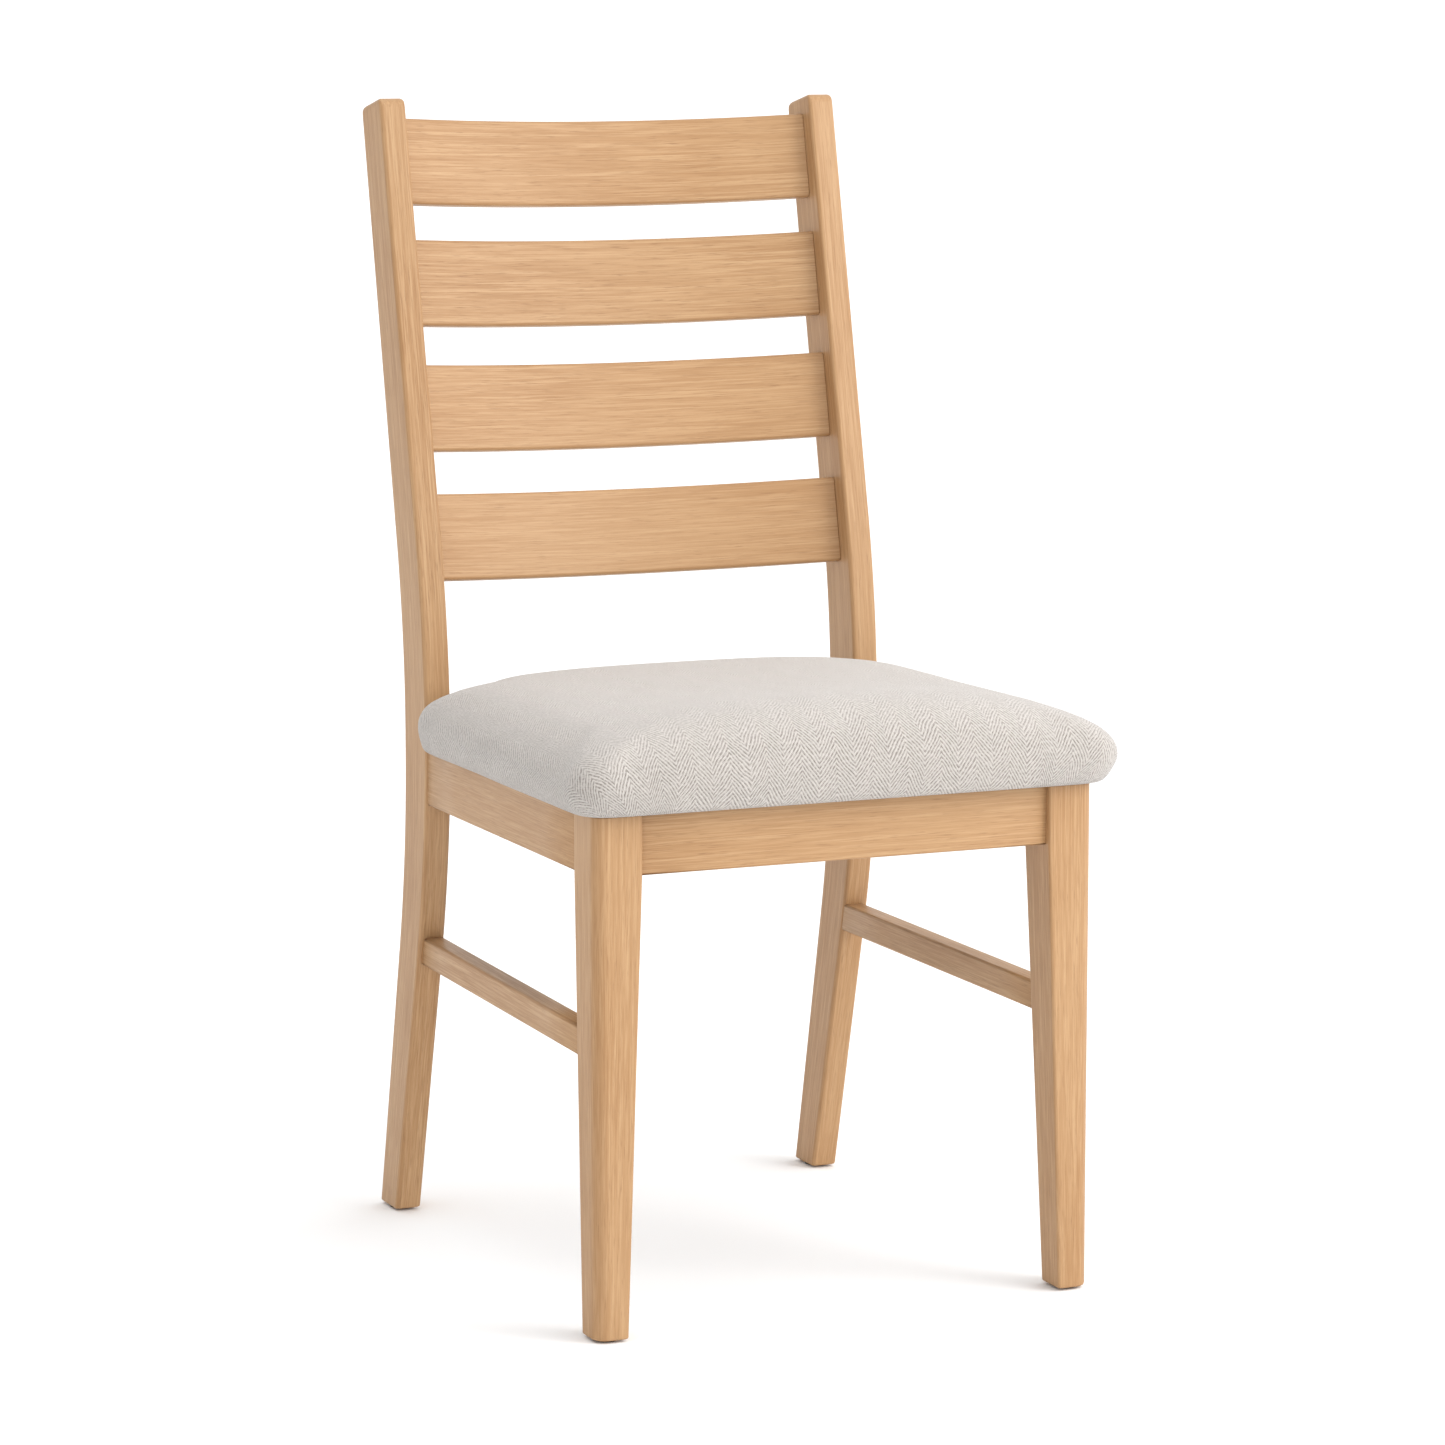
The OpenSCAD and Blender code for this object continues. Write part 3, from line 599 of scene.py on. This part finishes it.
# ---------------------------------------------------------------- the padded seat
PAD_BOTTOM = FRAME_TOP + 0.5 * MM
PAD_OVER = 21.2 * MM                 # overhang of the widest part beyond the frame
PAD_MID = FRAME_TOP + 21.6 * MM      # height of the widest part
PAD_LOW = 23.2 * MM                  # rise from the underside to the widest part
PAD_HIGH = 28.7 * MM                 # rise of the rounded edge above the widest part
PAD_EDGE_IN = 28 * MM                # how far the rounded edge draws in
PAD_TUCK = 3 * MM                    # how far the tongue's lower edge draws in
PAD_CROWN = 66 * MM                  # height of the crown above the frame
PAD_FRONT_R = 22.8 * MM              # corners in plan, at the board's overhang
PAD_BACK_R = 28 * MM
PAD_UNDER = 7 * MM                   # overhang of the flat underside
EDGE_SLOPE = 55                      # the edge's levels go this many degrees up and down round it
CROWN_FRONT_R = 18 * MM              # corners in plan of the crown's layers, before they grow
CROWN_BACK_R = 24 * MM
CROWN_R_GROWTH = 0.55                # share of a layer's inset that is added to its corners
CROWN_FLAT = 132 * MM                # the crown is level from this far inside the widest part
CROWN_LAYERS = 12
TONGUE_BASE = 60 * MM                # how far the tongue is rooted in the pad
TONGUE_BEVEL = 6 * MM
BACK_CORNER_DROP = 0.10              # how far the crown falls off, as shares of its rise
FRONT_CORNER_DROP = 0.146
SIDE_DROP = 0.249
FRONT_LIFT = 0.40
CUSHION_VOXEL = 5 * MM
FILL_PRESSURE = 4.0
FILL_FRAMES = 20
FILL_MOST = 5 * MM                   # no point moves further than this while the pad is filled
NOTCH_Y = LEG_FRONT + post_front(FRAME_TOP) - PAD_GAP
TONGUE_Y = COVER_BACK
PAD_CENTRE_Y = (LEG_FRONT + NOTCH_Y) / 2
PAD_HALF_Y = (NOTCH_Y - LEG_FRONT) / 2 + 12 * MM


def ease(t):
    t = max(0.0, min(t, 1.0))
    return t * t * (3 - 2 * t)


def add_layer(bm, z, over, front_r, back_r):
    """Points round one level outline of the pad, "over" beyond the frame's outer faces."""
    y_front = LEG_FRONT - over
    y_back = NOTCH_Y + min(0, over - BOARD_OVER)
    for side in (-1, 1):
        for x, y, r in ((LEG_X + over, y_front + front_r, front_r),
                        (POST_X + over, y_back - back_r, back_r)):
            for i in range(24):
                a = 2 * math.pi * i / 24
                bm.verts.new((side * (x - r) + r * math.cos(a), y + r * math.sin(a), z))


def edge_levels():
    """Height and overhang of the pad's rounded edge, and of its crown."""
    levels = [(PAD_BOTTOM, PAD_UNDER)]
    for k in range(-EDGE_SLOPE, EDGE_SLOPE + 1, 10):
        a = math.radians(k)
        z = PAD_MID + (PAD_LOW if k < 0 else PAD_HIGH) * math.sin(a)
        levels.append((z, PAD_OVER - PAD_EDGE_IN * (1 - math.cos(a))))
    z_edge, inset = levels[-1][0], PAD_OVER - levels[-1][1]
    top = FRAME_TOP + PAD_CROWN
    for k in range(1, CROWN_LAYERS + 1):
        d = inset + (CROWN_FLAT - inset) * k / CROWN_LAYERS
        z = top - (top - z_edge) * ((CROWN_FLAT - d) / (CROWN_FLAT - inset)) ** 4
        levels.append((z, PAD_OVER - d))
    return levels


def hull(bm):
    bmesh.ops.convex_hull(bm, input=bm.verts)
    bmesh.ops.delete(bm, geom=[v for v in bm.verts if not v.link_faces], context="VERTS")


def pad_base():
    """The stuffed pad's form: a hull of level outlines, and a tongue between the posts."""
    bm = bmesh.new()
    for z, over in edge_levels():
        grow = (over - BOARD_OVER) / 2
        if z < PAD_MID + PAD_HIGH * 0.83:
            add_layer(bm, z, over, PAD_FRONT_R + grow, PAD_BACK_R + grow)
        else:
            more = CROWN_R_GROWTH * (PAD_OVER - over)
            add_layer(bm, z, over, CROWN_FRONT_R + more, CROWN_BACK_R + more)
    hull(bm)
    tongue = bmesh.new()
    half = POST_X - POST_W - PAD_GAP
    for k in range(-EDGE_SLOPE, 66, 15):
        a = math.radians(k)
        z = PAD_MID + (PAD_LOW if k < 0 else PAD_HIGH) * math.sin(a)
        y = TONGUE_Y - (PAD_TUCK if k < 0 else PAD_EDGE_IN * 0.5) * (1 - math.cos(a))
        for x in (-half, half):
            tongue.verts.new((x * 0.97, y, z))
            tongue.verts.new((x, y - TONGUE_BEVEL, z))
            tongue.verts.new((x, NOTCH_Y - TONGUE_BASE, z))
    for x in (-half, half):
        tongue.verts.new((x, NOTCH_Y - TONGUE_BASE, PAD_BOTTOM))
        tongue.verts.new((x, TONGUE_Y - PAD_TUCK, PAD_BOTTOM))
    hull(tongue)
    part = bpy.data.meshes.new("tongue")
    tongue.to_mesh(part)
    tongue.free()
    bm.from_mesh(part)
    return bm


def settle(obj):
    """Lets the crown fall off towards the corners and the sides, and fills out the front."""
    for v in obj.data.vertices:
        rise = v.co.z - PAD_MID
        if rise <= 0:
            continue
        x = min(abs(v.co.x) / (LEG_X + PAD_OVER), 1.0)
        y = max(-1.0, min((v.co.y - PAD_CENTRE_Y) / PAD_HALF_Y, 1.0))
        corner = ease((x - 0.25) / 0.7)
        drop = BACK_CORNER_DROP * corner * ease((y - 0.1) / 0.85)
        drop += FRONT_CORNER_DROP * corner * ease((-y - 0.1) / 0.85)
        lift = -SIDE_DROP * x * x * (1 - y * y) + FRONT_LIFT * max(-y, 0) ** 2 * (1 - x * x)
        v.co.z = PAD_MID + rise * (1 - drop + lift * min(rise / (20 * MM), 1))


def apply_modifiers(obj):
    """Replaces the object's mesh with the result of its modifiers."""
    graph = bpy.context.evaluated_depsgraph_get()
    mesh = bpy.data.meshes.new_from_object(obj.evaluated_get(graph))
    obj.modifiers.clear()
    obj.data = mesh


def inflate(obj, pressure, frames, cap):
    """Fills the pad: cloth under pressure, held by its flat underside, moved at most by cap."""
    start = [v.co.copy() for v in obj.data.vertices]
    pinned = obj.vertex_groups.new(name="held")
    pinned.add([v.index for v in obj.data.vertices if v.co.z < PAD_BOTTOM + 3 * MM], 1.0, "REPLACE")
    cloth = obj.modifiers.new("fill", "CLOTH")
    settings = cloth.settings
    settings.quality = 6
    settings.mass = 0.3
    settings.tension_stiffness = 15
    settings.compression_stiffness = 15
    settings.bending_stiffness = 0.6
    settings.use_pressure = True
    settings.uniform_pressure_force = pressure
    settings.vertex_group_mass = "held"
    settings.effector_weights.gravity = 0
    cloth.collision_settings.use_self_collision = False
    cloth.point_cache.frame_start = 1
    cloth.point_cache.frame_end = frames
    scene = bpy.context.scene
    for f in range(1, frames + 1):
        scene.frame_set(f)
    apply_modifiers(obj)
    scene.frame_set(1)
    obj.vertex_groups.clear()
    for v, old in zip(obj.data.vertices, start):
        move = v.co - old
        if move.length > cap:
            v.co = old + move * (cap / move.length)


def fit_plan(obj):
    """Stretches the pad in plan, by a few millimetres at most, to its full overhang."""
    wide = max(abs(v.co.x) for v in obj.data.vertices)
    front = min(v.co.y for v in obj.data.vertices)
    by_x = (LEG_X + PAD_OVER) / wide
    by_y = (NOTCH_Y - LEG_FRONT + PAD_OVER) / (NOTCH_Y - front)
    for v in obj.data.vertices:
        if abs(v.co.x) > POST_X - POST_W - PAD_GAP or v.co.y < NOTCH_Y:
            v.co.x *= by_x if v.co.y < NOTCH_Y - 8 * MM else 1
            v.co.y = NOTCH_Y - (NOTCH_Y - v.co.y) * by_y


def keep_in_place(obj):
    """Keeps the pad clear of the posts, above the seat frame and no further back than the cover."""
    inner = POST_X - POST_W - PAD_GAP
    for v in obj.data.vertices:
        if abs(v.co.x) > inner and v.co.y > NOTCH_Y:
            if v.co.y - NOTCH_Y < abs(v.co.x) - inner:
                v.co.y = NOTCH_Y
            else:
                v.co.x = math.copysign(inner, v.co.x)
        v.co.y = min(v.co.y, TONGUE_Y)
        v.co.z = max(v.co.z, PAD_BOTTOM)


def smooth_over(obj, repeat):
    bm = bmesh.new()
    bm.from_mesh(obj.data)
    for _ in range(repeat):
        bmesh.ops.smooth_vert(bm, verts=bm.verts, factor=0.5, use_axis_x=True, use_axis_y=True,
                              use_axis_z=True)
    bm.to_mesh(obj.data)
    bm.free()


def seat_cushion(name):
    obj = new_object(name, pad_base())
    remesh = obj.modifiers.new("even mesh", "REMESH")
    remesh.mode = "VOXEL"
    remesh.voxel_size = CUSHION_VOXEL
    apply_modifiers(obj)
    settle(obj)
    smooth_over(obj, 4)
    inflate(obj, FILL_PRESSURE, FILL_FRAMES, FILL_MOST)
    smooth_over(obj, 3)
    fit_plan(obj)
    keep_in_place(obj)
    smooth_over(obj, 2)
    keep_in_place(obj)
    lay_weave(obj)
    for p in obj.data.polygons:
        p.use_smooth = True
    smooth = obj.modifiers.new("smooth cloth", "SUBSURF")
    smooth.levels = smooth.render_levels = 1
    return obj


PLATE_NOTCH_Y = NOTCH_Y - FABRIC_T


def plate_half_width(y, over):
    """Half the width at y of the flat plan that lies "over" beyond the frame's outer faces."""
    front_x, back_x = LEG_X + over, POST_X + over
    back_r = BOARD_R + PAD_CORNER_EXTRA
    y_front = LEG_FRONT - over
    if y > PLATE_NOTCH_Y:
        beyond = max(y - DUST_HI.y + TONGUE_R, 0)
        tongue = POST_X - POST_W - PAD_GAP - FABRIC_T
        return tongue - TONGUE_R + math.sqrt(max(TONGUE_R ** 2 - beyond ** 2, 0))
    if y < y_front + BOARD_R:
        return front_x - BOARD_R + math.sqrt(max(BOARD_R ** 2 - (y_front + BOARD_R - y) ** 2, 0))
    if y > PLATE_NOTCH_Y - back_r:
        return back_x - back_r + math.sqrt(max(back_r ** 2 - (y - PLATE_NOTCH_Y + back_r) ** 2, 0))
    share = (y - y_front - BOARD_R) / (PLATE_NOTCH_Y - back_r - y_front - BOARD_R)
    return front_x + (back_x - front_x) * share


def dust_cover_sheet(name):
    """Thin black cloth stapled under the board: taut, with a little slack in the middle."""
    over = -DUST_INSET
    y_front, y_back = LEG_FRONT - over, DUST_HI.y
    near_front = [y_front + BOARD_R * (1 - math.cos(math.radians(a))) for a in range(0, 90, 9)]
    near_notch = [PLATE_NOTCH_Y - (BOARD_R + PAD_CORNER_EXTRA) * (1 - math.sin(math.radians(a)))
                  for a in range(0, 91, 9)]
    near_back = [y_back - TONGUE_R * (1 - math.sin(math.radians(a))) for a in range(0, 91, 15)]
    between = spread(near_front[-1] + 5 * MM, near_notch[0] - 5 * MM, 48)
    rows = near_front + between + near_notch + [PLATE_NOTCH_Y + 0.2 * MM] + near_back
    bm = bmesh.new()
    columns = 64
    layers = []
    for face in (0, 1):
        grid = []
        for y in rows:
            half = plate_half_width(y, over)
            line = []
            for i in range(columns + 1):
                across = 2 * i / columns - 1
                x = half * across
                along = (2 * y - y_front - PLATE_NOTCH_Y) / (PLATE_NOTCH_Y - y_front)
                inside = max(1 - across * across, 0) * max(1 - along * along, 0)
                edge_d = min(half - abs(x), abs(y - y_front))
                wave = math.cos((x + y) * 2 * math.pi / PUCKER_SPACING)
                pucker = DUST_PUCKER * math.exp(-edge_d / PUCKER_FADE) * wave
                z = DUST_LO.z + 0.25 * MM - DUST_SLACK * inside + pucker * min(inside * 8, 1)
                line.append(bm.verts.new((x, y, z + (face - 0.5) * DUST_THICK)))
            grid.append(line)
        layers.append(grid)
    widths = [plate_half_width(y, over) for y in rows]
    low, high = layers
    for j in range(len(rows) - 1):
        for i in range(columns):
            bm.faces.new((low[j][i], low[j + 1][i], low[j + 1][i + 1], low[j][i + 1]))
            bm.faces.new((high[j][i], high[j][i + 1], high[j + 1][i + 1], high[j + 1][i]))
        for i, turn in ((0, 1), (columns, -1)):
            rim = (low[j][i], high[j][i], high[j + 1][i], low[j + 1][i])
            bm.faces.new(rim[::turn])
    for i in range(columns):
        bm.faces.new((low[0][i], low[0][i + 1], high[0][i + 1], high[0][i]))
        bm.faces.new((low[-1][i], high[-1][i], high[-1][i + 1], low[-1][i + 1]))
    bmesh.ops.recalc_face_normals(bm, faces=bm.faces)
    obj = new_object(name, bm)
    for p in obj.data.polygons:
        p.use_smooth = True
    return obj


def lay_weave(obj):
    """The cloth's own flat coordinates: level in the middle, then measured along the surface.

    The third value rises from 0 on the crown, where the cloth is pulled flat, to 1 at the edges; the
    cloth's material also paints shade on the sides and front with it.
    """
    surface = BVHTree.FromPolygons([v.co for v in obj.data.vertices],
                                   [p.vertices for p in obj.data.polygons])
    inner = 60 * MM                    # inside this border the cloth lies as in plan
    samples = 8                        # straight steps from that border to the pad's edge
    across, front, back = LEG_X - inner, LEG_FRONT + inner, NOTCH_Y - inner
    high = PAD_MID + 200 * MM
    values = []
    for v in obj.data.vertices:
        x, y, z = v.co
        root = Vector((max(-across, min(x, across)), max(front, min(y, back)), 0))
        out = Vector((x, y, 0)) - root
        if out.length < 0.1 * MM:
            values += [x, y, 0.0]
            continue
        way, end = out.normalized(), v.co
        if z < PAD_MID:
            widest = surface.ray_cast(root + way * 0.5 + Z * PAD_MID, -way)[0]
            end = widest or v.co
        reach = (Vector((end.x, end.y, 0)) - root).length
        points = []
        for k in range(samples + 1):
            hit = surface.ray_cast(root + way * (reach * 0.999 * k / samples) + Z * high, -Z)[0]
            if hit:
                points.append(hit)
        points += [end, v.co]
        run = sum((q - p).length for p, q in zip(points, points[1:]))
        values += [root.x + way.x * run, root.y + way.y * run, ease((run - reach) / (10 * MM))]
    layer = obj.data.attributes.new("weave", "FLOAT_VECTOR", "POINT")
    layer.data.foreach_set("vector", values)


# ---------------------------------------------------------------- build
oak = oak_material()
fabric = weave_material()
beech = plain_wood_material("hardwood", (0.60, 0.42, 0.25), (0.48, 0.31, 0.17), 0)
plywood = plywood_material()
liner = cloth_material("liner", (0.045, 0.045, 0.048), (0.018, 0.018, 0.020), 1400.0)
steel = metal_material("steel", (0.60, 0.61, 0.63), 0.3)
nylon = nylon_material()

for label, side in SIDES:
    finish_piece(front_leg("front_leg_" + label + "_wood", side), "front_leg_" + label, "oak", oak)
    finish_piece(back_post("back_post_" + label + "_wood", side), "back_post_" + label, "oak", oak)
    finish_piece(side_apron("side_apron_" + label + "_wood", side), "side_apron_" + label, "oak", oak)
    finish_piece(side_stretcher("side_stretcher_" + label + "_wood", side), "side_stretcher_" + label,
                 "oak", oak)
for index in range(4):
    node = "back_slat_" + str(index + 1)
    finish_piece(back_slat(node + "_wood", index), node, "oak", oak)
finish_piece(cross_apron("front_apron_wood", APRON_LO, APRON_HI), "front_apron", "oak", oak)
finish_piece(cross_apron("rear_apron_wood", REAR_LO, REAR_HI), "rear_apron", "oak", oak)

cushion = seat_cushion("seat_cushion")
finish_piece(cushion, ("seat_cover", "seat_wadding", "seat_foam"), "seat_fabric", fabric)

finish_piece(dust_cover_sheet("dust_cover_cloth"), "dust_cover", "liner", liner)

SOLID_LOOKS = {
    "seat_board": plywood, "foot_glides": nylon, "glide_nails": steel,
    "seat_staples": steel, "seat_screws": steel, "corner_block_screws": steel,
}
for node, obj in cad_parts.items():
    look = SOLID_LOOKS.get(node, beech)
    for slot in obj.material_slots:
        slot.material = look


def stage():
    bm = bmesh.new()
    bmesh.ops.create_grid(bm, x_segments=8, y_segments=8, size=400.0)
    floor = new_object("floor", bm)
    floor.data.materials.append(floor_material())


def area_light(name, place, aim, size, power):
    light = bpy.data.lights.new(name, "AREA")
    light.shape = "RECTANGLE"
    light.size, light.size_y = size
    light.energy = power
    obj = bpy.data.objects.new(name, light)
    obj.location = place
    obj.rotation_euler = (Vector(aim) - Vector(place)).to_track_quat("-Z", "Y").to_euler()
    obj.visible_camera = False
    bpy.context.scene.collection.objects.link(obj)


def lights():
    world = bpy.data.worlds.new("studio")
    world.use_nodes = True
    tree = world.node_tree
    back = tree.nodes["Background"]
    back.inputs["Color"].default_value = (1, 1, 1, 1)
    place = tree.nodes.new("ShaderNodeTexCoord")
    lean = tree.nodes.new("ShaderNodeVectorMath")         # brighter from the right, front and above
    lean.operation = "DOT_PRODUCT"
    lean.inputs[1].default_value = (0.30, -0.12, 0.25)
    level = tree.nodes.new("ShaderNodeMath")
    level.operation = "ADD"
    level.inputs[1].default_value = 1.03
    tree.links.new(place.outputs["Generated"], lean.inputs[0])
    tree.links.new(lean.outputs["Value"], level.inputs[0])
    tree.links.new(level.outputs[0], back.inputs["Strength"])
    bpy.context.scene.world = world
    sun = bpy.data.lights.new("soft key", "SUN")
    sun.energy = 0.8
    sun.angle = math.radians(60)
    obj = bpy.data.objects.new("soft key", sun)
    obj.rotation_euler = Vector((-0.62, 0.62, -0.75)).to_track_quat("-Z", "Y").to_euler()
    bpy.context.scene.collection.objects.link(obj)
    area_light("side softbox", (1.6, -1.7, 1.5), (0, 0.1, 0.75), (1.0, 1.5), 20)


CAMERA_PLACE = (-1.6578, -3.7505, 1.0423)
CAMERA_YAW = math.radians(23.88)
CAMERA_PITCH = math.radians(8.33)
CAMERA_SENSOR = 36                   # in millimetres, as the lens
CAMERA_LENS = 125.15


def camera():
    level = Vector((math.sin(CAMERA_YAW), math.cos(CAMERA_YAW), 0))
    forward = level * math.cos(CAMERA_PITCH) - Z * math.sin(CAMERA_PITCH)
    data = bpy.data.cameras.new("camera")
    data.sensor_width = CAMERA_SENSOR
    data.lens = CAMERA_LENS
    obj = bpy.data.objects.new("camera", data)
    obj.location = CAMERA_PLACE
    obj.rotation_euler = forward.to_track_quat("-Z", "Y").to_euler()
    bpy.context.scene.collection.objects.link(obj)
    bpy.context.scene.camera = obj


stage()
lights()
camera()
bpy.context.scene.view_settings.view_transform = "Standard"
